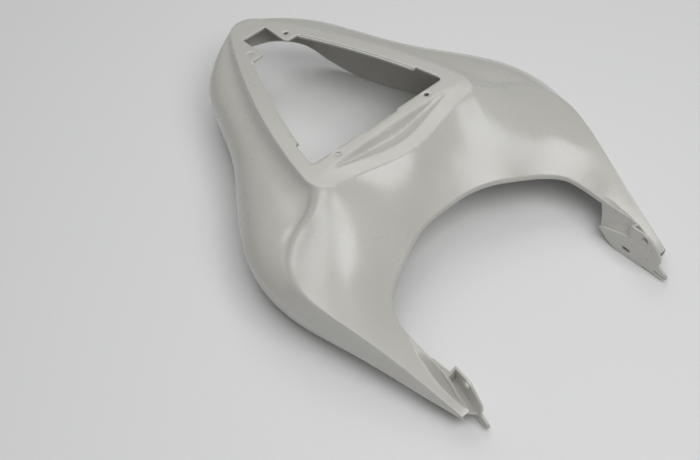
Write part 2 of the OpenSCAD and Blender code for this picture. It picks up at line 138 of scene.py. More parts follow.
# %% Rim outline, from the tail (row 0) to the corner (row 30) and along the front edge
RIM_ROWS, NOSE_ROWS, CORNER_ROWS = 30.0, 6.0, 3.0
NOSE_HALF, NOSE_Y, RIM_BOW = 31.5, -274.0, 12.0
CORNER_START, CORNER_CTRL, CORNER_END = [127.0, 2.0], [131.0, 25.0], [115.0, 33.6]


def corner_line(t):
    """Round corner of the rim as one quadratic curve."""
    return bezier(CORNER_START, CORNER_CTRL, CORNER_END, t)


def rim_line(i):
    """Rim from the tail at i = 0 to the middle of its corner at i = 30, seen from above."""
    nose = bezier([0, -RIM_REACH], [NOSE_HALF * 0.64, -RIM_REACH], [NOSE_HALF, NOSE_Y],
                  np.clip(i / NOSE_ROWS, 0, 1))
    t = np.clip((i - NOSE_ROWS) / (RIM_ROWS - CORNER_ROWS - NOSE_ROWS), 0, 1)
    side = mix(np.array([NOSE_HALF, NOSE_Y]), np.array(CORNER_START), column(t))
    side[..., 0] += RIM_BOW * 4 * t * (1 - t)
    corner = corner_line(np.clip((i - RIM_ROWS + CORNER_ROWS) / (2 * CORNER_ROWS), 0, 1))
    return np.where(column(i <= NOSE_ROWS), nose,
                    np.where(column(i <= RIM_ROWS - CORNER_ROWS), side, corner))


def rim_point(i):
    """The same line on the rim's plane."""
    return lifted(rim_line(i))


# Front edge from the corner to the middle: x, y and the drop below the plane
FRONT_KNOTS = [[115, 33.6, 0.4], [105, 36.2, 2.4], [93, 37.7, 4.9], [80, 39.6, 6.9],
               [66, 42.2, 8.2], [52, 45.6, 9.1], [38, 49.0, 9.6], [24, 51.8, 10], [11, 53.6, 10],
               [0, 54.2, 10]]
FRONT_ROWS = 14.0


def front_point(j):
    """Front edge of the rim: j = 0 at the middle of the corner, 14 at the middle of the edge."""
    round_part = lifted(corner_line(np.clip((CORNER_ROWS + j) / (2 * CORNER_ROWS), 0, 1)),
                        FRONT_KNOTS[0][2] * ease(j / CORNER_ROWS))
    k = spline(FRONT_KNOTS, np.clip((j - CORNER_ROWS) / (FRONT_ROWS - CORNER_ROWS), 0, 1))
    straight = np.concatenate([k[..., :2], column(plane_z(k[..., 1]) - k[..., 2])], axis=-1)
    return np.where(column(j <= CORNER_ROWS), round_part, straight)


print("rim at its tip and its corner:", rim_point(np.array([0, RIM_ROWS])).round(1).tolist())

# %% [markdown]
# Crease, widest line, hem and bay
#
# The crease leaves the rim's corner, swings out over the hip and then runs straight to the tip
# of the leg. The widest line lies a hand's breadth below it, and the hem is tucked inwards below
# that, so that the cowl grips the frame. The bay's edge is the opposite side of the leg.

# %% The other curves, each through a few points in millimetres
CREASE_ROWS = 26.0
SIDE_ROWS = RIM_ROWS + CREASE_ROWS
CREASE_KNOTS = np.vstack([lifted(corner_line(0.5)), [
    [147, 39, 117], [170, 43, 106], [192, 52, 98], [210, 72, 90], [217, 102, 86], [213, 134, 81],
    [204, 166, 75], [194, 202, 65], [184, 240, 53], [175, 279, 40], [167, 318, 27]]])
WIDE_TAIL = [[0, -303.5, 77], [44, -287, 68], [80, -261, 64], [103, -230, 62], [120, -188, 63],
             [137, -144, 65], [158, -103, 65], [183, -66, 65], [206, -30, 65], [223, 2, 65]]
WIDE_LEG = [[223, 2, 65], [231, 30, 66], [234, 58, 66], [232.5, 88, 63], [227, 118, 58],
            [217, 152, 51], [206, 189, 44], [194, 230, 36], [182, 273, 29], [168, 318, 22]]
HEM_TAIL_Z, HEM_LEG_Z = [50, 48, 36, 12, 1, 0, 0, 1, 3, 5], [5, 7, 8, 9, 11, 14, 18, 19, 18, 15]
HEM_TAIL_IN = [16, 16, 15, 13, 13, 13, 13, 13, 13, 13]
HEM_LEG_IN = [13, 13, 13, 13, 13, 11, 9, 7, 5, 3]
BAY_KNOTS = [
    [0, 117, 70], [23.7, 117.5, 70], [44.5, 121, 70], [66, 129, 70.5], [86, 138, 67.5],
    [106, 147, 63.5], [124, 157, 60], [137, 168, 58.2], [145, 181, 57], [150, 199, 54],
    [152, 220, 52.8], [153, 244, 53.5], [154.5, 266, 55], [155.8, 283, 52.5], [156.6, 300, 40],
    [157.6, 317.8, 27]]
PAD_ROWS = FRONT_ROWS + CREASE_ROWS


def crease_point(k):
    """Crease from the rim's corner (k = 0) to the tip of the leg (k = 26)."""
    return spline(CREASE_KNOTS, np.clip(k / CREASE_ROWS, 0, 1))


def two_part(tail, leg, i):
    """A law along the flank: one spline beside the rim and another along the leg."""
    t = spline(tail, np.clip(i / RIM_ROWS, 0, 1))
    u = spline(leg, np.clip((i - RIM_ROWS) / CREASE_ROWS, 0, 1))
    on_rim = i <= RIM_ROWS
    return np.where(column(on_rim) if t.ndim > 1 else on_rim, t, u)


def top_point(i):
    """Upper edge of the flank: the rim as far as its corner, then the crease."""
    return np.where(column(i <= RIM_ROWS), rim_point(np.minimum(i, RIM_ROWS)),
                    crease_point(np.maximum(i - RIM_ROWS, 0)))


def wide_point(i):
    """Widest line of the flank."""
    return two_part(WIDE_TAIL, WIDE_LEG, i)


def level(p):
    """Points or directions with their height taken out."""
    return p * np.array([1.0, 1.0, 0.0])


def outwards(i):
    """Level direction out of the flank, square to the widest line."""
    d = level(wide_point(np.minimum(i + 1, SIDE_ROWS)) - wide_point(np.maximum(i - 1, 0)))
    out = unit(np.stack([d[..., 1], -d[..., 0], 0 * d[..., 0]], axis=-1))
    return np.where(column(i <= 0), np.array([0.0, -1.0, 0.0]), out)


def hem_point(i):
    """Hem: the widest line moved inwards by its tuck, at its own height."""
    p = wide_point(i) - column(two_part(HEM_TAIL_IN, HEM_LEG_IN, i)) * outwards(i)
    p[..., 2] = np.maximum(two_part(HEM_TAIL_Z, HEM_LEG_Z, i), 0)
    return p


def bay_point(k):
    """Edge of the rider's bay from its middle (k = 0) to the tip of the leg (k = 40)."""
    return spline(BAY_KNOTS, np.clip(k / PAD_ROWS, 0, 1))


# Along the leg the bay's edge stands up as a flange; this is the line of its foot, from k = 26
FLANGE_START = 26.0
FLANGE_KNOTS = [[152.8, 213, 53.8], [157.6, 223.5, 53.2], [161.8, 236, 50.8], [163.2, 250, 47],
                [165, 263, 43.3], [165.2, 278, 38.6], [163, 297, 32.5], [160.5, 318, 27]]


def flange_share(k):
    """0 where the bay's edge has no flange yet and 1 where it has its whole one."""
    return ease((k - FLANGE_START + 1.5) / 2.5)


def flange_foot(k):
    """Foot of the flange, with the bay's edge itself where there is no flange yet."""
    foot = spline(FLANGE_KNOTS, np.clip((k - FLANGE_START) / (PAD_ROWS - FLANGE_START), 0, 1))
    return mix(bay_point(k), foot, column(flange_share(k)))


hips = wide_point(np.linspace(0, SIDE_ROWS, 200))[:, 0].max()
print("half width over the hips:", round(float(hips), 1), "mm")

# %% [markdown]
# The flank as one grid
#
# Beside the rim the flank first steps down into a valley, then swells as a shoulder and tucks
# in at the hem. A subdivision cage could do this, but a formula keeps every section under
# control: a hollow that starts steeply, then a quarter of a superellipse, then a piece of an
# ellipse.

# %% Flank: rows follow the rim and the crease, columns run from the top edge to the hem
VALLEY = 16.0
VALLEY_RIM = [1, 4, 8, 11, 13, 15, VALLEY, VALLEY, VALLEY, VALLEY]
VALLEY_LEG = [VALLEY, 11, 6, 3, 1.5, 0.8, 0.4, 0, 0, 0]
STEP_RIM = [3, 6, 9, 11, 12, 13, 13, 13, 13, 13]
STEP_LEG = [13, 11.5, 9, 6, 4, 2.5, 2, 1.5, 1.5, 1.5]
STEP_POWER, STEP_BUNCH, TUCK_ANGLE = 2.3, 1.5, 60
SHOULDER_RIM, SHOULDER_LEG = [2.2] * 10, [2.2, 1.85, 1.65, 1.5, 1.42, 1.36, 1.33, 1.3, 1.3, 1.3]


def flank_grid(i, step_cols=9, shoulder_cols=22, tuck_cols=9):
    """Rows i of the flank. With u from 0 to 1 across each zone: the step falls from the top edge
    into the valley as (1 - u)^2.3, steep at first and level at its end; the shoulder is the
    quarter superellipse (sin^(2/n), cos^(2/n)); the tuck is 60 degrees of an ellipse down to
    the hem."""
    top, wide, hem = top_point(i), wide_point(i), hem_point(i)
    across = unit(level(wide - top))
    across[i <= 0] = [0, -1, 0]
    valley = top + column(two_part(STEP_RIM, STEP_LEG, i)) * across
    depth = two_part(VALLEY_RIM, VALLEY_LEG, i)
    valley[:, 2] -= np.where(i <= RIM_ROWS, np.minimum(VALLEY, depth), depth)
    parts = []
    u = ((np.arange(step_cols) / step_cols) ** STEP_BUNCH)[None, :, None]
    p = mix(top[:, None], valley[:, None], u)
    p[..., 2] = mix(valley[:, None, 2], top[:, None, 2], (1 - u[..., 0]) ** STEP_POWER)
    parts.append(p)
    a = np.radians(90 * np.arange(shoulder_cols) / shoulder_cols)[None, :, None]
    power = 2 / column(two_part(SHOULDER_RIM, SHOULDER_LEG, i))[:, None]
    p = mix(valley[:, None], wide[:, None], np.sin(a) ** power)
    p[..., 2] = mix(wide[:, None, 2], valley[:, None, 2], np.cos(a[..., 0]) ** power[..., 0])
    parts.append(p)
    a = np.radians(TUCK_ANGLE * np.arange(tuck_cols + 1) / tuck_cols)[None, :, None]
    last = math.radians(TUCK_ANGLE)
    p = mix(wide[:, None], hem[:, None], (1 - np.cos(a)) / (1 - math.cos(last)))
    p[..., 2] = mix(wide[:, None, 2], hem[:, None, 2], np.sin(a[..., 0]) / math.sin(last))
    parts.append(p)
    grid = np.concatenate(parts, axis=1)
    grid[i <= 0, :, 0] = 0
    return grid


def stretched(start, stop, count):
    """Evenly spaced row numbers from start to stop."""
    return np.linspace(start, stop, count + 1)


corner_i = RIM_ROWS - CORNER_ROWS
rim_i = np.concatenate([stretched(0, NOSE_ROWS, 14), stretched(NOSE_ROWS, corner_i, 92)[1:],
                        stretched(corner_i, RIM_ROWS, 8)[1:]])
crease_k = stretched(0, CREASE_ROWS, 112)
flank_i = np.concatenate([rim_i, RIM_ROWS + crease_k[1:]])
flank = flank_grid(flank_i)


def faired(grid, hold, rounds):
    """Relaxes a grid: each point moves half-way to the mean of its four neighbours, as far as
    its hold lets it (1 keeps it). Row 0 lies on the mirror plane, so its missing neighbour is
    its own mirror image."""
    grid = grid.copy()
    free = 0.5 * (1 - hold)[..., None]
    for _ in range(rounds):
        ahead = np.concatenate([grid[1:], grid[-1:]], axis=0)
        behind = np.concatenate([grid[1:2] * [-1, 1, 1], grid[:-1]], axis=0)
        left = np.concatenate([grid[:, :1], grid[:, :-1]], axis=1)
        right = np.concatenate([grid[:, 1:], grid[:, -1:]], axis=1)
        grid += free * ((ahead + behind + left + right) / 4 - grid)
    return grid


# the top edge, the widest line, the tuck and the tip of the leg stay where their curves put them
HOLD_TOP, HOLD_WIDE, TUCK_COLUMN, FAIR_ROUNDS = 7.0, 9.0, 31, 60
to_top = np.linalg.norm(flank - flank[:, :1], axis=-1)
to_wide = np.linalg.norm(flank - wide_point(flank_i)[:, None], axis=-1)
flank_hold = np.maximum(np.exp(-(to_top / HOLD_TOP) ** 2), np.exp(-(to_wide / HOLD_WIDE) ** 2))
flank_hold[:, TUCK_COLUMN:] = 1
flank_hold[-1] = 1
flank = faired(flank, flank_hold, FAIR_ROUNDS)
print("flank grid:", flank.shape)

# %% [markdown]
# The pad and the bay's rolled edge
#
# The surface between the crease and the rider's bay is the seat back. It hollows in the middle,
# is full on each side, and turns down in a small radius at the bay, which stiffens the edge.

# %% Pad: rows from the middle of the front edge to the tip of the leg
LIP, LIP_LEG, LIP_LEG_ROWS, TIP_ROWS = 6.0, 5.0, 6.0, 2.0
BELOW_OUT, BELOW_DROP = 8.0, [2.2, 3.2, 4.4, 5.2, 5.5, 5.5]
BELOW_GIVE, PAD_GIVE = 0.004, 0.08
FOOT_SHARE, FLANGE_POWER, MISS_POWER, EVEN_SHARE = 0.94, 1.5, 3, 0.35
PAD_GUIDES = [[0, 80, 95], [0, 100, 80.5], [50, 84, 97], [96, 68, 110], [124, 60, 114],
              [124, 90, 102], [154, 88, 100.5], [180, 62, 101.5], [136, 122, 86],
              [172, 124, 86.5], [172, 155, 77]]


def thin_plate(sites, places):
    """Heights at some places of a smooth sheet through the sites (x, y, z, give): z is the sum of
    w r^2 log r over the sites plus a plane a + b x + c y, with the weights w, a, b and c from
    one linear system. A site's give, put on the system's diagonal, lets the sheet pass it by
    give times w, so that rough measurements don't dent it."""
    def kernel(p, q):
        r2 = np.sum((p[:, None] - q[None]) ** 2, axis=-1)
        return 0.5 * r2 * np.log(np.maximum(r2, 1e-9))
    xy = sites[:, :2] / 100
    flat = np.column_stack([np.ones(len(xy)), xy])
    system = np.block([[kernel(xy, xy) + np.diag(sites[:, 3]), flat], [flat.T, np.zeros((3, 3))]])
    weights = np.linalg.solve(system, np.concatenate([sites[:, 2], np.zeros(3)]))
    at = places[..., :2].reshape(-1, 2) / 100
    z = kernel(at, xy) @ weights[:-3] + np.column_stack([np.ones(len(at)), at]) @ weights[-3:]
    return z.reshape(places.shape[:-1])


def pad_sites():
    """Sites of the pad's sheet: the three edges, a line just below the front edge that makes the
    pad leave it steeply, and a few guides in between, all of them on both sides. The guides are
    soft, the edges aren't."""
    front = front_point(np.linspace(0, FRONT_ROWS, 22))
    ahead = unit(np.gradient(front[:, :2], axis=0))
    below = front[5:].copy()
    below[:, :2] += BELOW_OUT * np.stack([ahead[5:, 1], -ahead[5:, 0]], axis=-1)
    below[:, 2] -= spline(BELOW_DROP, np.linspace(0, 1, len(below)))
    parts = [(front, 0), (below, BELOW_GIVE),
             (crease_point(np.linspace(0.9, CREASE_ROWS, 34)), 0),
             (flange_foot(np.linspace(0, PAD_ROWS, 54)), 0),
             (np.array(PAD_GUIDES, float), PAD_GIVE)]
    half = np.vstack([np.column_stack([p, np.full(len(p), give)]) for p, give in parts])
    return np.vstack([half, half[half[:, 0] > 0.5] * [-1, 1, 1, 1]])


def pad_grid(k, cols=30, wall_cols=8, lip_cols=3):
    """Rows k of the pad. In plan each row runs straight from the top edge to the flange's foot,
    or to 0.94 of the way to the bay where there is no flange, and its heights come from the thin
    plate. Then the flange rises as s^1.5 with s from 0 to 1, and a short lip turns down."""
    top = np.where(column(k <= FRONT_ROWS), front_point(np.clip(FRONT_ROWS - k, 0, FRONT_ROWS)),
                   crease_point(np.maximum(k - FRONT_ROWS, 0)))
    edge, foot = bay_point(k), flange_foot(k)
    has_flange = flange_share(k)
    foot = mix(foot, mix(top, edge, FOOT_SHARE), column(1 - has_flange))
    u = np.arange(cols + 1) / cols
    u = (EVEN_SHARE * u + (1 - EVEN_SHARE) * ease(u))[None, :, None]
    p = mix(top[:, None], foot[:, None], u)
    s = (np.arange(1, wall_cols + 1) / wall_cols)[None, :, None]
    q = mix(foot[:, None], edge[:, None], s)
    grid = np.concatenate([p, q], axis=1)
    sheet = thin_plate(pad_sites(), grid)
    # the sheet passes near the top edge between its sites, so what it misses by is taken off
    miss = sheet[:, :1] - top[:, None, 2]
    near = np.linspace(1, 0, cols + 1 + wall_cols)[None] ** MISS_POWER
    rise = mix(sheet[:, cols:cols + 1], edge[:, None, 2], s[..., 0] ** FLANGE_POWER)
    z = sheet - miss * near
    z[:, cols + 1:] = mix(z[:, cols + 1:], rise, has_flange[:, None])
    z[:, -1] = edge[:, 2]
    grid[..., 2] = z
    lip = np.where(k > PAD_ROWS - TIP_ROWS, WALL,
                   np.where(k > PAD_ROWS - LIP_LEG_ROWS, LIP_LEG, LIP))
    v = (np.arange(1, lip_cols + 1) / lip_cols)[None, :, None]
    low = edge[:, None] - v * column(lip)[:, None] * np.array([0, 0, 1.0])
    grid = np.concatenate([grid, low], axis=1)
    grid[k <= 0, :, 0] = 0
    return grid


front_j = np.concatenate([stretched(0, 3, 8), stretched(3, FRONT_ROWS, 42)[1:]])
pad_k = np.concatenate([(FRONT_ROWS - front_j)[::-1], FRONT_ROWS + crease_k[1:]])
pad = pad_grid(pad_k)
print("pad grid:", pad.shape)

# %% [markdown]
# The flat band round the opening
#
# The band is almost a plane, but its outline is busy: an opening with screw tabs and small
# steps, a sunk ledge, round holes and a recess with sharp folds. A regular grid can't follow
# all of that, so the band is cut into triangles in plan by a Delaunay triangulation that
# keeps every outline and fold as an edge, and its height is then a function of x and y.

# %% Outline of the opening, seen from above, for the right half
OPEN_HALF, OPEN_FRONT, OPEN_TAIL, TAIL_HALF, TAB_END = 105.0, -7.0, -264.0, 19.0, -217.0
OPEN_BOW, OPEN_CORNER_R, TAIL_CORNER_R, EDGE_STEP, OPEN_SPACING = 4.0, 6.0, 2.0, 3.0, 3.0
SIDE_FOOT, SIDE_HEAD, STEP_CORNER = (37.0, TAB_END), (OPEN_HALF - 12, -50.0), (98.4, -48.5)
FRONT_BOLT, REAR_BOLT, BOLT_R = (72.0, 0.0), (30.0, -232.0), 3.25


def arc(cx, cy, r, start, stop, count):
    """Points on a circle about (cx, cy) between two angles in degrees."""
    a = np.radians(np.linspace(start, stop, count + 1))
    return np.stack([cx + r * np.cos(a), cy + r * np.sin(a)], axis=-1)


def side_edge(t, shift=0.0):
    """Long side of the opening from its tab to its front step, bowed outwards by 4 mm: the bow is
    the parabola 4 b t (1 - t), which is b high in its middle."""
    p = mix(np.array(SIDE_FOOT), np.array(SIDE_HEAD), column(t))
    p[..., 0] += OPEN_BOW * 4 * t * (1 - t) + shift
    return p


def resampled(p, spacing):
    """Points added along a polyline so that none are further apart than the spacing."""
    p = np.asarray(p, float)
    length = np.linalg.norm(np.diff(p, axis=0), axis=1)
    cuts = np.maximum(np.ceil(length / spacing).astype(int), 1)
    start = np.repeat(np.arange(len(length)), cuts)
    step = np.concatenate([np.arange(c) / c for c in cuts])
    return np.vstack([mix(p[start], p[start + 1], column(step)), p[-1:]])


opening = np.vstack([
    [[0, OPEN_TAIL]],
    arc(TAIL_HALF - TAIL_CORNER_R, OPEN_TAIL + TAIL_CORNER_R, TAIL_CORNER_R, -90, 0, 4),
    arc(TAIL_HALF + OPEN_CORNER_R, TAB_END - OPEN_CORNER_R, OPEN_CORNER_R, 180, 90, 8),
    side_edge(np.linspace(0, 1, 56)), [STEP_CORNER],
    arc(OPEN_HALF - OPEN_CORNER_R, OPEN_FRONT - OPEN_CORNER_R, OPEN_CORNER_R, 0, 90, 8),
    [[29, OPEN_FRONT], [27, OPEN_FRONT + EDGE_STEP], [0, OPEN_FRONT + EDGE_STEP]]])
opening = resampled(opening, OPEN_SPACING)
print("opening outline:", len(opening), "points")

# %% [markdown]
# The recess before the front bar is described by three folds that cross it: the ridge where it
# starts, the foot of its wall and the top of that wall. Each is a row of y values over the same
# x values, and two of them have a drop below the rim's plane. Straight lines between the folds
# give the flat facets of the real recess. A shallow dimple round each bolt hole seats its screw.

# %% Folds of the recess, and the height of the band
RIDGE_X = np.array([0, 10, 25, 40, 55, 70, 85, 95, 99])
RIDGE_Y = np.array([9.4, 9.4, 9.3, 9.7, 10.4, 11.2, 12.4, 13.3, 13.8])
FOOT_Y = np.array([18.2, 18.0, 16.8, 15.8, 15.4, 15.2, 15.0, 14.6, 14.2])
FOOT_DROP = np.array([11.5, 11.5, 11, 10, 8, 5.5, 2.6, 0.8, 0])
WALL_TOP_Y = np.array([35.5, 35.2, 32.7, 28.9, 25.3, 21.2, 17.6, 15.4, 14.6])
WALL_TOP_DROP = np.array([7, 7, 6.8, 6, 4.5, 2.9, 1.2, 0.4, 0])
DIMPLE, DIMPLE_R, DIMPLE_BLEND = 0.5, 4.4, 1.4
front_edge = front_point(stretched(0, FRONT_ROWS, 120))


def band_height(x, y):
    """Height of the band: the rim's plane, less the recess. Ahead of the ridge the height runs in
    straight lines through the recess's foot and the top of its wall to the front edge."""
    a = np.abs(x)
    ry, fy, ty = (np.interp(a, RIDGE_X, v) for v in (RIDGE_Y, FOOT_Y, WALL_TOP_Y))
    fd, td = (np.interp(a, RIDGE_X, v) for v in (FOOT_DROP, WALL_TOP_DROP))
    order = np.argsort(front_edge[:, 0])
    ey = np.interp(a, front_edge[order, 0], front_edge[order, 1])
    ed = np.interp(a, front_edge[order, 0], (plane_z(front_edge[:, 1]) - front_edge[:, 2])[order])
    s1 = np.clip((y - ry) / np.maximum(fy - ry, 0.1), 0, 1)
    s2 = np.clip((y - fy) / np.maximum(ty - fy, 0.1), 0, 1)
    s3 = np.clip((y - ty) / np.maximum(ey - ty, 0.1), 0, 1)
    drop = fd * s1 + (td - fd) * s2 + (ed - td) * s3
    for cx, cy in (FRONT_BOLT, REAR_BOLT):
        drop += DIMPLE * (1 - ease((np.hypot(a - cx, y - cy) - DIMPLE_R) / DIMPLE_BLEND))
    return plane_z(y) - drop


fold_x = np.linspace(0, 96, 65)
folds = [np.stack([fold_x, np.interp(fold_x, RIDGE_X, v)], axis=-1)
         for v in (RIDGE_Y, FOOT_Y, WALL_TOP_Y)]
print("recess:", round(float(FOOT_DROP.max()), 1), "mm deep at its foot")

# %% [markdown]
# Blender's own library can cut a flat shape into triangles and keep given edges: that is a
# constrained Delaunay triangulation. It wants all points and kept edges at once, and gives back
# triangles over the holes too. The helpers below make the points, call it once and tidy up.

# %% Helpers for cutting a flat shape into triangles
def inset(line, distance):
    """A line moved sideways in plan by a distance, to the left of its direction."""
    d = unit(np.gradient(line[:, :2], axis=0))
    return line[:, :2] + distance * np.stack([-d[:, 1], d[:, 0]], axis=-1)


def inside(points, loop):
    """Even-odd test of many points against one closed loop, done with whole arrays."""
    x, y = points[:, :1], points[:, 1:2]
    x0, y0 = loop[None, :, 0], loop[None, :, 1]
    x1, y1 = np.roll(x0, -1, axis=1), np.roll(y0, -1, axis=1)
    span = (y0 > y) != (y1 > y)
    cross = x0 + (y - y0) * (x1 - x0) / np.where(y1 == y0, 1e-9, y1 - y0)
    return (np.sum(span & (x < cross), axis=1) % 2) == 1


def clear_of(points, taken, distance):
    """Keeps the points that are at least a distance from every taken one."""
    gap = np.full(len(points), np.inf)
    for part in np.array_split(taken, max(1, len(taken) // 200)):
        d = np.linalg.norm(points[:, None] - part[None], axis=-1).min(axis=1)
        gap = np.minimum(gap, d)
    return points[gap > distance]


def hex_points(low, high, spacing):
    """Points of a triangular lattice over a rectangle: rows are sin 60 degrees of the spacing
    apart, and every second row is moved by half of it."""
    x = np.arange(low[0], high[0], spacing)
    y = np.arange(low[1], high[1], spacing * 0.866)
    gx, gy = np.meshgrid(x, y)
    gx[1::2] += spacing / 2
    return np.stack([gx.ravel(), gy.ravel()], axis=-1)


def chain(count, closed=False):
    """Edges that join a row of points, back to the first one if the row is closed."""
    n = np.arange(count)
    return np.stack([n, np.roll(n, -1)] if closed else [n[:-1], n[1:]], axis=-1)


def cut_flat(plan, kept_edges, outline, holes):
    """Triangulates points in plan so that the kept edges stay edges, and drops what lies outside
    the outline or in a hole: (points, triangles, for each point its number in the plan or -1)."""
    result = delaunay_2d_cdt([Vector(p) for p in plan],
                             [tuple(map(int, e)) for e in np.vstack(kept_edges)], [], 0, 1e-4)
    xy = np.array([v[:] for v in result[0]])
    tri = np.array([f for f in result[2] if len(f) == 3])
    centre = xy[tri].mean(axis=1)
    keep = inside(centre, outline)
    for loop in holes:
        keep &= ~inside(centre, loop)
    tri = tri[keep]
    turn = np.cross(xy[tri[:, 1]] - xy[tri[:, 0]], xy[tri[:, 2]] - xy[tri[:, 0]])
    tri[turn < 0] = tri[turn < 0][:, ::-1]
    return xy, tri, np.array([o[0] if len(o) else -1 for o in result[3]])


print("lattice points 3 mm apart in a square of 30 mm:", len(hex_points([0, 0], [30, 30], 3.0)))

# %% [markdown]
# Lines that must stay edges go in first: the outline, the bolt holes, the ledge and the folds.
# Rings beside the outline and the holes keep the triangles there small, and a triangular
# lattice fills the rest, finer in the recess. The outline's own points are the ones that the
# flank and the pad start from, so that all three meet without a gap.

# %% Lines and points of the band in plan
LEDGE_WIDTH, LEDGE_WALL = 2.6, 0.5
BAND_LOW, BAND_HIGH, RECESS_LOW, RECESS_HIGH = (1, -300), (130, 56), (1, 6), (112, 54)
AXIS_SPACING, HOLE_SIDES, FOLD_RIB, FOLD_TIP = 3.0, 28, 0.6, 6
RING_INSETS, RING_RADII, RING_CLEAR = (0.5, 1.3, 2.8), (4.2, 5.6, 7.4), 0.35
COARSE, FINE, COARSE_CLEAR, FINE_CLEAR, FINE_CELL = 3.4, 1.9, 2.0, 1.2, 1.6
outer = np.vstack([rim_point(rim_i), front_point(front_j)[1:]])
outer[0, 0] = outer[-1, 0] = 0
side_t = np.linspace(0.015, 0.985, 56)
ledge_lines = [side_edge(side_t, LEDGE_WIDTH), side_edge(side_t, LEDGE_WIDTH - LEDGE_WALL)]
axis_front = resampled([[0, outer[-1, 1]], [0, OPEN_FRONT + EDGE_STEP]], AXIS_SPACING)[1:-1]
axis_tail = resampled([[0, OPEN_TAIL], [0, -RIM_REACH]], AXIS_SPACING)[1:-1]
band_loop = np.vstack([outer[:, :2], axis_front, opening[::-1], axis_tail])
hole_loops = [arc(*c, BOLT_R, 0, 360, HOLE_SIDES)[:-1] for c in (FRONT_BOLT, REAR_BOLT)]
hole_rings = [arc(*c, r, 0, 360, HOLE_SIDES)[:-1]
              for c in (FRONT_BOLT, REAR_BOLT) for r in RING_RADII]
open_lines = list(ledge_lines)
for line in folds:
    open_lines += [line[1:], line[1:-FOLD_TIP] + [0, FOLD_RIB], line[1:-FOLD_TIP] - [0, FOLD_RIB]]
points, edges, start = [], [], 0
for line, closed in [(band_loop, True)] + [(h, True) for h in hole_loops] \
        + [(o, False) for o in open_lines]:
    points.append(line)
    edges.append(chain(len(line), closed) + start)
    start += len(line)
solid_lines = np.vstack(points)
rings = np.vstack([inset(outer, d)[2:-2] for d in RING_INSETS] + hole_rings)
rings = rings[inside(rings, band_loop) & (rings[:, 0] > 0.6)]
rings = clear_of(rings, solid_lines, RING_CLEAR)
fill = np.vstack([hex_points(BAND_LOW, BAND_HIGH, COARSE),
                  hex_points(RECESS_LOW, RECESS_HIGH, FINE)])
fill = fill[inside(fill, band_loop) & (fill[:, 0] > BAND_LOW[0])]
in_recess = (fill[:, 1] > RECESS_LOW[1]) & (fill[:, 0] < RECESS_HIGH[0])
first = clear_of(fill[in_recess], np.vstack([solid_lines, rings]), FINE_CLEAR)
second = clear_of(fill[~in_recess], np.vstack([solid_lines, rings, first]), COARSE_CLEAR)
# both lattices cover the recess, so only one point per small cell is kept there
_, unique_rows = np.unique(np.round(first / FINE_CELL).astype(int), axis=0, return_index=True)
first = first[np.sort(unique_rows)]
plan = np.vstack(points + [rings, first, second])
print("plan of the band:", len(plan), "points")

# %% [markdown]
# The flat pattern now gets its height. Each point reads it from the formula above, the ledge is
# then sunk below the edge of the opening, and the outline's own points go back to exactly where
# the flank and the pad have theirs.

# %% Triangles and heights of the band
LEDGE_DROP, LEDGE_START, LEDGE_END, LEDGE_BLEND = 1.2, TAB_END + 2, -50.6, 0.4
band_xy, faces, origins = cut_flat(plan, edges, band_loop, hole_loops)
band_z = band_height(band_xy[:, 0], band_xy[:, 1])
side_line = side_edge(np.linspace(0, 1, 60))
side_x = np.interp(band_xy[:, 1], side_line[:, 1], side_line[:, 0])
on_ledge = (band_xy[:, 1] > LEDGE_START) & (band_xy[:, 1] < LEDGE_END)
past_ledge = (band_xy[:, 0] - side_x - LEDGE_WIDTH + 0.45) / LEDGE_BLEND
band_z -= LEDGE_DROP * on_ledge * (1 - ease(past_ledge))
band = np.concatenate([band_xy, band_z[:, None]], axis=-1)
where_is = np.full(len(plan), -1)
where_is[origins[origins >= 0]] = np.nonzero(origins >= 0)[0]
band[where_is[:len(outer)]] = outer
print("band:", len(band), "points,", len(faces), "triangles")

# %% [markdown]
# One skin
#
# Flank, pad and band share their edge points, so they weld into one skin, and its mirror image
# makes the other half. Points are moved from the source's millimetres to the frame's metres in
# one place, so that every piece lands where the solid has it.

# %% Helpers for meshes
PLATE_TIP, PAD_BACK, TOE = 341.0, 282.0, math.radians(4.0)
MID_Y = (PAD_BACK + (PLATE_TIP - PAD_BACK) * math.cos(TOE) - RIM_REACH - WALL) / 2
print("middle of the length, before the front bolts:", round(MID_Y, 2), "mm")


def to_row(p):
    """Source millimetres to metres in the frame, whose Y starts at the middle of the length."""
    return (np.asarray(p, float) - [0, MID_Y, 0]) * MM


def grid_faces(rows, cols, start, turned=False):
    """Quads of a grid whose points are numbered row by row from start."""
    a = start + (np.arange(rows - 1)[:, None] * cols + np.arange(cols - 1)[None]).ravel()
    quad = np.stack([a, a + cols, a + cols + 1, a + 1], axis=-1)
    return quad[:, ::-1] if turned else quad


def new_mesh(name, points_mm, polygons):
    """A mesh object from points in source millimetres."""
    mesh = bpy.data.meshes.new(name)
    mesh.from_pydata(to_row(points_mm).tolist(), [], [p.tolist() for p in polygons])
    mesh.update()
    obj = bpy.data.objects.new(name, mesh)
    bpy.context.collection.objects.link(obj)
    return obj


def read_array(items, what, width, kind=float):
    """One value of every point, edge or corner of a mesh, as an array with rows of a width."""
    out = np.empty(len(items) * width, kind)
    items.foreach_get(what, out)
    return out.reshape(-1, width)


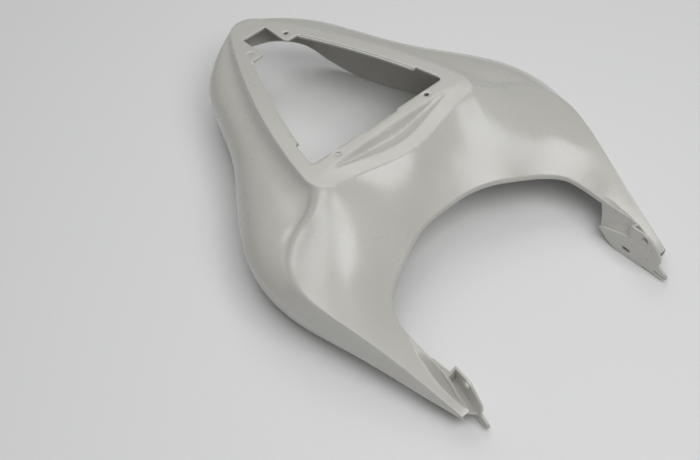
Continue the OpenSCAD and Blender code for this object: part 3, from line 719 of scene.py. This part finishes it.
# %% Weld the surfaces and mirror them
WELD, SLIVER = 0.03, 0.01
half = np.vstack([flank.reshape(-1, 3), pad.reshape(-1, 3), band])
pad_start = flank.shape[0] * flank.shape[1]
band_start = pad_start + pad.shape[0] * pad.shape[1]
quads = np.vstack([grid_faces(*flank.shape[:2], 0, True), grid_faces(*pad.shape[:2], pad_start)])
tris = faces + band_start
whole = np.vstack([half, half * [-1, 1, 1]])
quads = np.vstack([quads, quads[:, ::-1] + len(half)])
tris = np.vstack([tris, tris[:, ::-1] + len(half)])
skin = new_mesh("seat_cowl_skin", whole, list(quads) + list(tris))
bm = bmesh.new()
bm.from_mesh(skin.data)
bmesh.ops.remove_doubles(bm, verts=bm.verts, dist=WELD * MM)
bmesh.ops.dissolve_degenerate(bm, edges=bm.edges, dist=SLIVER * MM)
bmesh.ops.delete(bm, geom=[v for v in bm.verts if not v.link_faces], context="VERTS")
bm.to_mesh(skin.data)
bm.free()
mesh = skin.data
place = read_array(mesh.vertices, "co", 3)
pairs = read_array(mesh.edges, "vertices", 2, int)
uses = np.bincount(read_array(mesh.loops, "edge_index", 1, int)[:, 0], minlength=len(pairs))
open_edge = np.zeros(len(place), bool)
open_edge[pairs[uses == 1].ravel()] = True
print("skin:", len(place), "points; open edges:", int((uses == 1).sum()),
      "over-used:", int((uses > 2).sum()))

# %% [markdown]
# The bead along the crease
#
# Where the crease leaves the rim's corner, a low rounded bead runs along it for a hand's breadth,
# with a shallow hollow on its pad side. Both are bell curves of the distance from the crease,
# so they have no edge of their own, and both fade out along the crease.

# %% Bead and groove, moved straight up and down
BEAD_HEIGHT, BEAD_AT, BEAD_WIDTH, BEAD_IN, BEAD_FULL, BEAD_OUT = 0.9, 3.0, 4.0, 3.0, 4.0, 10.0
GROOVE_DEPTH, GROOVE_AT, GROOVE_WIDTH, GROOVE_IN, GROOVE_FULL, GROOVE_OUT = 0.6, 14.0, 8.0, 4, 3, 8
BEAD_LOW, BEAD_HIGH, BEAD_ROWS = (95, -5, 62), (245, 165, 200), 14.0


def bell(gap, at, width):
    """exp(-((gap - at) / width)^2): 1 at one distance and almost 0 two widths from it."""
    return np.exp(-((gap - at) / width) ** 2)


def fading(k, grown, full, gone):
    """Rises along the crease until row grown, then sinks from row full over gone rows."""
    return ease(k / grown) * (1 - ease((k - full) / gone))


bead_k = np.linspace(0, BEAD_ROWS, 280)
bead_line = crease_point(bead_k)
ahead = np.gradient(bead_line[:, :2], axis=0)
at_mm = np.column_stack([np.abs(place[:, 0]), place[:, 1:]]) / MM + [0, MID_Y, 0]
near = np.flatnonzero(np.all((at_mm > BEAD_LOW) & (at_mm < BEAD_HIGH), axis=1))
away = at_mm[near, None, :2] - bead_line[None, :, :2]
which = np.argmin(np.sum(away ** 2, axis=-1), axis=1)
gap = away[np.arange(len(near)), which]
pad_side = np.sign(ahead[which, 0] * gap[:, 1] - ahead[which, 1] * gap[:, 0])
gap = pad_side * np.linalg.norm(gap, axis=1)
bead = BEAD_HEIGHT * fading(bead_k[which], BEAD_IN, BEAD_FULL, BEAD_OUT)
groove = GROOVE_DEPTH * fading(bead_k[which], GROOVE_IN, GROOVE_FULL, GROOVE_OUT) * (gap > 0)
rise = bead * bell(gap, BEAD_AT, BEAD_WIDTH) - groove * bell(gap, GROOVE_AT, GROOVE_WIDTH)
place[near, 2] += MM * rise
print("bead and groove: from", round(float(rise.min()), 2), "to", round(float(rise.max()), 2), "mm")

# %% [markdown]
# Small radii on the folds
#
# The folds are still knife sharp. A moulding has small radii there, and they catch the light.
# A bevel would need clean loops of edges along each fold, which the triangles of the band don't
# have. So the points near a fold are relaxed instead: each moves towards the mean of its
# neighbours, by an amount that fades away from the fold. The crease on the hip has the fullest
# radius and takes more rounds. Edges that end in the open stay where they are.

# %% Relax the points near each fold
FEW, MANY, SAMPLES_APART = 14, 90, 0.8


def nearest(some, line):
    """Distance of each point to the nearest point of a densely sampled line."""
    best = np.full(len(some), np.inf)
    for part in np.array_split(line, max(1, len(line) // 60)):
        best = np.minimum(best, np.linalg.norm(some[:, None] - part[None], axis=-1).min(axis=1))
    return best


# for each fold: its line, its reach in mm, how strongly it pulls, and its rounds
fold_lines = [
    (rim_point(np.linspace(0, RIM_ROWS, 260)), 1.2, 0.5, FEW),
    (front_point(np.linspace(0, FRONT_ROWS, 200)), 2.2, 0.6, FEW),
    (crease_point(np.linspace(0.6, 15, 300)), 4.0, 0.85, MANY),
    (crease_point(np.linspace(15, CREASE_ROWS, 200)), 2.2, 0.6, FEW),
    (bay_point(np.linspace(0, PAD_ROWS, 420)), 1.6, 0.6, FEW)]
for line in folds:
    dense = resampled(line, SAMPLES_APART)
    dense = np.column_stack([dense, band_height(dense[:, 0], dense[:, 1])])
    fold_lines.append((dense, 1.0, 0.7, FEW))
folded = np.column_stack([np.abs(place[:, 0]), place[:, 1:]])
for rounds in (FEW, MANY):
    weight = np.zeros(len(place))
    for line, reach, most, its_rounds in fold_lines:
        if its_rounds == rounds:
            d = nearest(folded, to_row(line)) / MM
            weight = np.maximum(weight, most * np.exp(-(d / reach) ** 2))
    weight[open_edge] = 0
    for _ in range(rounds):
        total, number = np.zeros_like(place), np.zeros(len(place))
        for a, b in ((0, 1), (1, 0)):
            np.add.at(total, pairs[:, a], place[pairs[:, b]])
            np.add.at(number, pairs[:, a], 1)
        mean = total / np.maximum(number, 1)[:, None]
        place += 0.5 * weight[:, None] * (mean - place)
mesh.vertices.foreach_set("co", place.ravel())
mesh.update()
print("folds relaxed:", len(fold_lines))

# %% [markdown]
# An even wall
#
# The skin is the outside of the moulding. A Solidify modifier grows the wall inwards from it,
# which is how such a part is designed, with the same thickness everywhere. A small bevel on
# sharp angles then eases the cut edges, as a moulding's edges are never quite sharp.

# %% Wall and eased edges
SKIN_BEVEL, SKIN_ANGLE, SKIN_CLAMP = 0.5, 62, 0.5


def walled(obj, bevel, angle, clamp=0.0):
    """Grows the moulding's wall inwards from a surface and eases edges sharper than an angle. A
    clamp keeps the wall from crossing itself in tight hollows, and evens it out round bends."""
    wall = obj.modifiers.new("wall", "SOLIDIFY")
    wall.thickness, wall.offset = WALL * MM, -1
    wall.use_even_offset, wall.thickness_clamp = clamp > 0, clamp
    edges = obj.modifiers.new("edges", "BEVEL")
    edges.width, edges.segments = bevel * MM, 2
    edges.limit_method, edges.angle_limit = "ANGLE", math.radians(angle)
    obj.data.polygons.foreach_set("use_smooth", np.ones(len(obj.data.polygons), bool))
    return obj


walled(skin, SKIN_BEVEL, SKIN_ANGLE, SKIN_CLAMP)
print("wall:", WALL, "mm")

# %% [markdown]
# Leg brackets
#
# Inside each leg a plate stands on the floor and carries the side bolt, a clip slot, a locating
# hole and a slotted tongue. Its outline and holes are cut flat, as the band was, then stood on
# end on a plane that toes out by four degrees. It gets the same wall with eased edges.

# %% Outline and holes of the plate, seen from the side
LEG_BOLT_Y, LEG_BOLT_Z, LEG_BOLT_R, PLATE_X = 301.0, 49.0, 5.0, 143.0
CLIP_SLOT, TONGUE_SLOT, TONGUE_TILT, LOCATING_R = (12, 6), (14, 4.5), -4, 1.5
PLATE_SPACING, LATTICE_SPACING, LATTICE_CLEAR = 4, 5.0, 0.7


def flat_cut(outline, holes, spacing):
    """Triangles of a flat outline with holes in it: (points, faces)."""
    loops = [np.asarray(outline, float)] + [np.asarray(h, float) for h in holes]
    kept_edges, start = [], 0
    for loop in loops:
        kept_edges.append(chain(len(loop), closed=True) + start)
        start += len(loop)
    extra = hex_points(loops[0].min(axis=0), loops[0].max(axis=0), spacing)
    extra = extra[inside(extra, loops[0])]
    extra = clear_of(extra, np.vstack(loops), LATTICE_CLEAR * spacing)
    return cut_flat(np.vstack(loops + [extra]), kept_edges, loops[0], loops[1:])[:2]


def slot_loop(cy, cz, length, width, tilt=0.0):
    """Outline of a slot with round ends about (cy, cz), turned by a tilt in degrees."""
    h = (length - width) / 2
    loop = np.vstack([arc(h, 0, width / 2, -90, 90, 10), arc(-h, 0, width / 2, 90, 270, 10)])
    c, s = math.cos(math.radians(tilt)), math.sin(math.radians(tilt))
    return loop @ np.array([[c, s], [-s, c]]) + [cy, cz]


plate_outline = np.array([
    [238, 22], [251, 8], [262, 2], [268, 0], [294, 0], [310, 3], [PLATE_TIP - 12, 1.5],
    [PLATE_TIP - 4, 3], [PLATE_TIP, 7.5], [PLATE_TIP - 1, 12], [PLATE_TIP - 6, 15],
    [PLATE_TIP - 15, 20], [PLATE_TIP - 13, 28], [PLATE_TIP - 14, 36], [PLATE_TIP - 19, 42],
    [LEG_BOLT_Y + 10, LEG_BOLT_Z + 4], [LEG_BOLT_Y + 5, LEG_BOLT_Z + 8],
    [LEG_BOLT_Y - 2, LEG_BOLT_Z + 10], [PAD_BACK, LEG_BOLT_Z + 10], [PAD_BACK, 38], [242, 25]])
plate_outline = resampled(np.vstack([plate_outline, plate_outline[:1]]), PLATE_SPACING)[:-1]
plate_holes = [arc(LEG_BOLT_Y, LEG_BOLT_Z, LEG_BOLT_R, 0, 360, 32)[:-1],
               slot_loop(LEG_BOLT_Y - 21, 13, *CLIP_SLOT),
               arc(LEG_BOLT_Y + 10, 21, LOCATING_R, 0, 360, 16)[:-1],
               slot_loop(PLATE_TIP - 12, 8.5, *TONGUE_SLOT, TONGUE_TILT)]
plate_yz, plate_tri = flat_cut(plate_outline, plate_holes, LATTICE_SPACING)
along = plate_yz[:, 0] - PAD_BACK
plate_xyz = np.column_stack([PLATE_X + along * math.sin(TOE), PAD_BACK + along * math.cos(TOE),
                             plate_yz[:, 1]])
print("plate:", len(plate_tri), "triangles")

# %% [markdown]
# Three small sheets tie each plate to the leg: a sloped band that goes down from the bay's edge,
# and the back and the floor of the pocket that gives a spanner room at the bolt. Each is a
# patch between four corners. The band and the floor are hollowed a little, so that the light runs
# over them softly. In the solid the pocket has a slit and no back; here it is closed.

# %% Plates, sloped bands and pockets of both legs
SHEET_POINTS, PLATE_BEVEL, SHEET_BEVEL, BEVEL_ANGLE = 9, 0.5, 0.4, 50
# corners of each sheet, and how far it hollows between them
quad_sheets = {
    "leg_band": (([152, 226, 51], [155.5, 282, 51], [143.4, 282, 37], [143.4, 238, 22]), 2.5),
    "pocket_back": (([155.8, 282, 52], [159.5, 282, 44.6], [143.4, 282, 35], [143.2, 282, 59]), 0),
    "pocket_floor": (([159.5, 280, 44.6], [159.8, 317, 26], [146.5, 326, 17], [143.4, 280, 36]), 2)}


def patch(corners, hollow):
    """Grid between four corners: p = (1-t)((1-s)a + s b) + t((1-s)d + s c), less a parabola of t
    that is as high as the hollow, along the corner's normal."""
    a, b, c, d = np.array(corners, float)
    way = np.linspace(0, 1, SHEET_POINTS)
    s, t = (v[..., None] for v in np.meshgrid(way, way, indexing="ij"))
    grid = mix(mix(a, b, s), mix(d, c, s), t)
    grid -= hollow * 4 * t * (1 - t) * unit(np.cross(b - a, d - a))
    return grid.reshape(-1, 3)


pieces = [skin]
for side, name in ((1, "right"), (-1, "left")):
    flip = np.array([side, 1, 1])
    tri = plate_tri if side > 0 else plate_tri[:, ::-1]
    plate = new_mesh(f"leg_plate_{name}", plate_xyz * flip, list(tri[:, ::-1]))
    pieces.append(walled(plate, PLATE_BEVEL, BEVEL_ANGLE))
    for label, (corners, hollow) in quad_sheets.items():
        quad = grid_faces(SHEET_POINTS, SHEET_POINTS, 0, turned=side < 0)
        sheet = new_mesh(f"{label}_{name}", patch(corners, hollow) * flip, list(quad))
        pieces.append(walled(sheet, SHEET_BEVEL, BEVEL_ANGLE))
print("pieces:", [piece.name for piece in pieces])

# %% [markdown]
# Unpainted plastic
#
# The cowl is satin ABS straight from the mould: off-white and a little warm. Up close it has the
# fine grain of the etched steel, a slight orange peel, cloudy sheen where the melt flowed, and
# a few rubbed spots where it has been handled. The inner face came off rougher steel and is more
# matt. Both finishes read the same group of patterns, in the object's own coordinates, so they
# keep their size on every piece. Painted image textures would do as well, but they need an
# unwrapped surface and blur when the camera comes near.

# %% Helpers for shader nodes
def new_group(name, inputs, outputs):
    """An empty node group with named sockets: (group, its given values, what it gives)."""
    group = bpy.data.node_groups.new(name, "ShaderNodeTree")
    for way, sockets in (("INPUT", inputs), ("OUTPUT", outputs)):
        for label, kind in sockets.items():
            group.interface.new_socket(label, in_out=way, socket_type="NodeSocket" + kind)
    return (group, group.nodes.new("NodeGroupInput").outputs,
            group.nodes.new("NodeGroupOutput").inputs)


def put(tree, kind, inputs, **settings):
    """A new node with its settings; each of its inputs gets a link, a number or a colour."""
    node = tree.nodes.new(kind)
    for label, value in settings.items():
        setattr(node, label, value)
    for socket, value in inputs.items():
        if isinstance(value, bpy.types.NodeSocket):
            tree.links.new(value, node.inputs[socket])
        else:
            node.inputs[socket].default_value = value
    return node


def noise(tree, at, scale, detail, rough=0.5):
    """Cloudy pattern from 0 to 1 at a place, with its scale in cells per metre."""
    return put(tree, "ShaderNodeTexNoise", {"Vector": at, "Scale": scale, "Detail": detail,
                                            "Roughness": rough}).outputs["Fac"]


def ramp(tree, value, low, high, to_low=0.0, to_high=1.0):
    """A smooth step of a value between two marks, put out between two others."""
    return put(tree, "ShaderNodeMapRange",
               {"Value": value, "From Min": low, "From Max": high, "To Min": to_low,
                "To Max": to_high}, interpolation_type="SMOOTHSTEP").outputs["Result"]


def maths(tree, operation, *values):
    """One Math node on two or three sockets or numbers."""
    return put(tree, "ShaderNodeMath", dict(enumerate(values)), operation=operation).outputs[0]


def blend(tree, amount, a, b):
    """Mixes two colours, each a socket or four numbers, by a mask."""
    return put(tree, "ShaderNodeMix", {"Factor": amount, 6: a, 7: b}, data_type="RGBA").outputs[2]


print("helpers for nodes: new_group, put, noise, ramp, maths, blend")

# %% [markdown]
# The first pattern is the moulded surface. It puts out a height for the relief (fine grain on top
# of a softer orange peel), a sheen for the roughness, a tint for slow changes of colour, and a
# few tiny specks such as dust leaves in unpainted plastic.

# %% Pattern: moulded surface
PEEL_SCALE, FLOW_SCALE, TINT_SCALE, SPECK_SCALE = 240, 16, 7, 85
GRAIN_SHARE, CLOUD_MARKS, SPECK_EDGE, SPECK_MOST = 0.45, (0.3, 0.7), (0.022, 0.045), 0.7
moulded, given, gives = new_group(
    "moulded surface", {"Place": "Vector", "Grain": "Float"},
    {"Height": "Float", "Sheen": "Float", "Tint": "Float", "Specks": "Float"})
spot = given["Place"]
grain = noise(moulded, spot, given["Grain"], 3, 0.6)
peel = noise(moulded, spot, PEEL_SCALE, 2)
flow = noise(moulded, spot, FLOW_SCALE, 4, 0.55)
cloud = noise(moulded, spot, TINT_SCALE, 3)
dust = put(moulded, "ShaderNodeTexVoronoi", {"Vector": spot, "Scale": SPECK_SCALE})
for label, value in (
        ("Height", maths(moulded, "MULTIPLY_ADD", grain, GRAIN_SHARE, peel)),
        ("Sheen", ramp(moulded, flow, *CLOUD_MARKS)), ("Tint", ramp(moulded, cloud, *CLOUD_MARKS)),
        ("Specks", ramp(moulded, dust.outputs["Distance"], *SPECK_EDGE, SPECK_MOST, 0))):
    moulded.links.new(value, gives[label])
print("moulded surface:", len(moulded.nodes), "nodes")

# %% [markdown]
# The second pattern is a rubbed spot: fine scratches that run one way, broken into patches, and
# fading with the distance from the spot's centre. The scratches are a noise that is squeezed
# across their direction, so one cell becomes a long thin line.

# %% Pattern: rubbed spot
SCRATCH_TURN, SCRATCH_SQUEEZE, PATCH_SCALE = (0.2, 0.35, 0.9), (900, 55, 300), 90
SCRATCH_MARKS, PATCH_MARKS, FADE_MARKS = (0.55, 0.68), (0.42, 0.62), (0.25, 1.0)
rubbed, given, gives = new_group(
    "rubbed spot", {"Place": "Vector", "Centre": "Vector", "Reach": "Float"}, {"Mask": "Float"})
spot = given["Place"]
apart = put(rubbed, "ShaderNodeVectorMath", {0: spot, 1: given["Centre"]}, operation="DISTANCE")
share = maths(rubbed, "DIVIDE", apart.outputs["Value"], given["Reach"])
close = ramp(rubbed, share, *FADE_MARKS, 1, 0)
drawn = put(rubbed, "ShaderNodeMapping",
            {"Vector": spot, "Rotation": SCRATCH_TURN, "Scale": SCRATCH_SQUEEZE})
scratches = ramp(rubbed, noise(rubbed, drawn.outputs["Vector"], 1, 3, 0.6), *SCRATCH_MARKS)
patches = ramp(rubbed, noise(rubbed, spot, PATCH_SCALE, 3), *PATCH_MARKS)
both = maths(rubbed, "MULTIPLY", scratches, patches)
rubbed.links.new(maths(rubbed, "MULTIPLY", both, close), gives["Mask"])
print("rubbed spot:", len(rubbed.nodes), "nodes")

# %% [markdown]
# Both finishes are the same recipe with other numbers. The outer face has fine grain and a clear
# second gloss, which a polished mould leaves; the inner face has coarse relief and no such gloss.
# A wall that is grown by a modifier can give its inner side the next material in the list.

# %% The two finishes
COAT_ROUGH, PLASTIC_IOR, RUB_PALER, RUB_ROUGHER = 0.2, 1.53, 1.12, 0.22


def plastic(name, light, dark, speck, grain_scale, relief, rough, gloss, spots=()):
    """A moulded finish: two close colours and that of its specks, grain cells per metre, relief
    in millimetres, the range of its roughness, the weight of its gloss, and rubbed spots as
    (x, y, z, reach) in source millimetres."""
    made = bpy.data.materials.new(name)
    made.use_nodes = True
    tree = made.node_tree
    shader = tree.nodes["Principled BSDF"]
    coords = put(tree, "ShaderNodeTexCoord", {}).outputs["Object"]
    surface = put(tree, "ShaderNodeGroup", {}, node_tree=moulded)
    surface.inputs["Grain"].default_value = grain_scale
    tree.links.new(coords, surface.inputs["Place"])
    colour = blend(tree, surface.outputs["Tint"], light + (1,), dark + (1,))
    colour = blend(tree, surface.outputs["Specks"], colour, speck + (1,))
    roughness = ramp(tree, surface.outputs["Sheen"], 0, 1, *rough)
    paler = tuple(v * RUB_PALER for v in light) + (1,)
    for x, y, z, reach in spots:
        mark = put(tree, "ShaderNodeGroup", {}, node_tree=rubbed)
        mark.inputs["Centre"].default_value = tuple(to_row([x, y, z]))
        mark.inputs["Reach"].default_value = reach * MM
        tree.links.new(coords, mark.inputs["Place"])
        colour = blend(tree, mark.outputs["Mask"], colour, paler)
        roughness = maths(tree, "MULTIPLY_ADD", mark.outputs["Mask"], RUB_ROUGHER, roughness)
    bump = put(tree, "ShaderNodeBump", {"Height": surface.outputs["Height"],
                                        "Distance": relief * MM})
    for label, value in (("Base Color", colour), ("Roughness", roughness),
                         ("Normal", bump.outputs["Normal"])):
        tree.links.new(value, shader.inputs[label])
    for label, value in (("IOR", PLASTIC_IOR), ("Coat Weight", gloss),
                         ("Coat Roughness", COAT_ROUGH)):
        shader.inputs[label].default_value = value
    return made


satin = plastic("satin_abs", (0.555, 0.548, 0.51), (0.532, 0.521, 0.48), (0.25, 0.235, 0.21),
                2600, 0.02, (0.27, 0.35), 0.8,
                [(165, 100, 100, 34), (-176, 84, 104, 30), (150, 232, 60, 26), (-60, 46, 112, 22)])
matt = plastic("matt_abs", (0.50, 0.492, 0.455), (0.47, 0.46, 0.418), (0.22, 0.205, 0.18),
               1400, 0.1, (0.5, 0.62), 0)
for piece in pieces:
    piece.data.materials.append(satin)
    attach(piece, "root")
    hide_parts("seat_cowl")
skin.data.materials.append(matt)
skin.modifiers["wall"].material_offset = 1
print("finishes on", len(pieces), "pieces")

# %% [markdown]
# Floor, light and camera
#
# Satin plastic shows its form through reflections of what is bright above it, so large soft
# lights do more than strong ones. The big softbox over the rider's end draws the bright pools on
# the hips and pads, a second one from behind brightens the band and the rim, and two small ones
# fill in between and pick out the edges. The floor and the sky are plain, and the light is kept
# low enough that nothing burns out.

# %% Floor
FLOOR_HALF, FLOOR_GREY, FLOOR_ROUGH = 6, 0.80, 0.6
floor_mesh = bpy.data.meshes.new("floor")
floor_mesh.from_pydata([(x * FLOOR_HALF, y * FLOOR_HALF, 0)
                        for x, y in ((-1, -1), (1, -1), (1, 1), (-1, 1))], [], [(0, 1, 2, 3)])
floor = bpy.data.objects.new("floor", floor_mesh)
bpy.context.collection.objects.link(floor)
floor_mat = bpy.data.materials.new("pale_floor")
floor_mat.use_nodes = True
floor_paint = floor_mat.node_tree.nodes["Principled BSDF"].inputs
floor_paint["Base Color"].default_value = (FLOOR_GREY, FLOOR_GREY, FLOOR_GREY, 1)
floor_paint["Roughness"].default_value = FLOOR_ROUGH
floor_mesh.materials.append(floor_mat)
print("floor:", 2 * FLOOR_HALF, "m wide")

# %% Lights
SKY_COLOUR, SKY_STRENGTH = (0.93, 0.94, 0.95, 1), 0.2


def area_light(name, place, aim, size, power):
    """A rectangular softbox at a place, aimed at a point, with its size in metres, in watts."""
    data = bpy.data.lights.new(name, "AREA")
    data.shape = "RECTANGLE"
    data.size, data.size_y = size
    data.energy = power
    obj = bpy.data.objects.new(name, data)
    obj.location = place
    obj.rotation_euler = (Vector(aim) - Vector(place)).to_track_quat("-Z", "Y").to_euler()
    bpy.context.collection.objects.link(obj)


area_light("softbox_front", (0.05, 1.05, 2.00), (0, 0.15, 0.1), (1.9, 1.4), 26)
area_light("softbox_back", (-0.68, -1.17, 1.85), (0, 0, 0.12), (1.7, 1.35), 9.5)
area_light("softbox_over", (0.35, -0.15, 2.1), (0.05, 0.05, 0.1), (0.8, 0.8), 4)
area_light("strip_edges", (-1.0, -0.5, 1.9), (0, 0, 0.12), (0.8, 0.12), 0.8)
world = bpy.data.worlds.new("studio")
bpy.context.scene.world = world
world.use_nodes = True
sky = world.node_tree.nodes["Background"].inputs
sky["Color"].default_value = SKY_COLOUR
sky["Strength"].default_value = SKY_STRENGTH

# %% [markdown]
# The camera stands where the photograph was taken from. Its three axes and its place were worked
# out from the cowl's own symmetry and the bolt holes, so the render can be laid over the photo.

# %% Camera
CAMERA_LENS, SENSOR_WIDTH, CLIP_START = 58.11, 36.0, 0.05
CAMERA_RIGHT = (-0.75987, 0.64845, -0.04589)
CAMERA_UP = (-0.53450, -0.58304, 0.61186)
CAMERA_BACK = (0.37000, 0.48946, 0.78964)
CAMERA_PLACE = (0.60811, 0.72199 - MID_Y * MM, 1.12896)
cam_data = bpy.data.cameras.new("camera")
cam_data.lens, cam_data.sensor_width, cam_data.clip_start = CAMERA_LENS, SENSOR_WIDTH, CLIP_START
camera = bpy.data.objects.new("camera", cam_data)
turned = Matrix((CAMERA_RIGHT, CAMERA_UP, CAMERA_BACK)).transposed().to_4x4()
turned.translation = Vector(CAMERA_PLACE)
camera.matrix_world = turned
bpy.context.collection.objects.link(camera)
bpy.context.scene.camera = camera
bpy.context.scene.view_settings.view_transform = "Standard"
print("camera:", CAMERA_LENS, "mm lens")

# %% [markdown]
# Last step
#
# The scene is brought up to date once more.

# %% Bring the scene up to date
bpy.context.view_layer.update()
